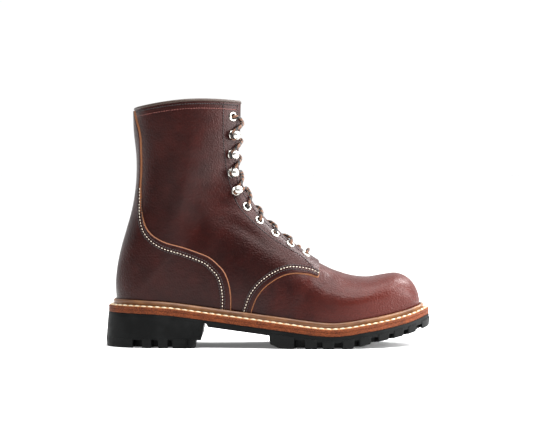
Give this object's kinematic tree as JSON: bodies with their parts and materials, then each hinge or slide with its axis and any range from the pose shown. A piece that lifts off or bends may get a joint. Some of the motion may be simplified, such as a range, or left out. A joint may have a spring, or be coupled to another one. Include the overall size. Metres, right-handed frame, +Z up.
{
  "type": "logger boot",
  "caption": "Tall lace-up logger boot for the right foot: hollow leather upper, storm welt, leather midsole, lug outsole and high separate heel.",
  "frame": {"origin": "on the floor, in the middle of the outsole's length and width", "axes": "+Z up, +X towards the toe, -Y towards the outer side of the foot"},
  "size_m": [0.3146, 0.1184, 0.2395],
  "materials": {
    "upper_leather": "oiled dark red-brown leather, soft sheen",
    "binding_leather": "soft dull leather",
    "welt_leather": "tan leather, stitched",
    "midsole_leather": "stained and burnished edge",
    "insole_leather": "plain leather board",
    "rubber": "matte black lug rubber",
    "nickel": "bright nickel plate",
    "lace": "two-tone twisted cord"
  },
  "bodies": {
    "root": {"outsole": "rubber", "heel": "rubber", "midsole": "midsole_leather", "welt": "welt_leather", "insole": "insole_leather", "upper": "upper_leather", "tongue": "upper_leather", "collar_binding": "binding_leather", "laces": "lace", "eyelet_01_outer": "nickel", "eyelet_01_inner": "nickel", "eyelet_02_outer": "nickel", "eyelet_02_inner": "nickel", "eyelet_03_outer": "nickel", "eyelet_03_inner": "nickel", "eyelet_04_outer": "nickel", "eyelet_04_inner": "nickel", "eyelet_05_outer": "nickel", "eyelet_05_inner": "nickel", "eyelet_10_outer": "nickel", "eyelet_10_inner": "nickel", "hook_06_outer": "nickel", "hook_06_inner": "nickel", "hook_07_outer": "nickel", "hook_07_inner": "nickel", "hook_08_outer": "nickel", "hook_08_inner": "nickel", "hook_09_outer": "nickel", "hook_09_inner": "nickel"}
  },
  "joints": []
}
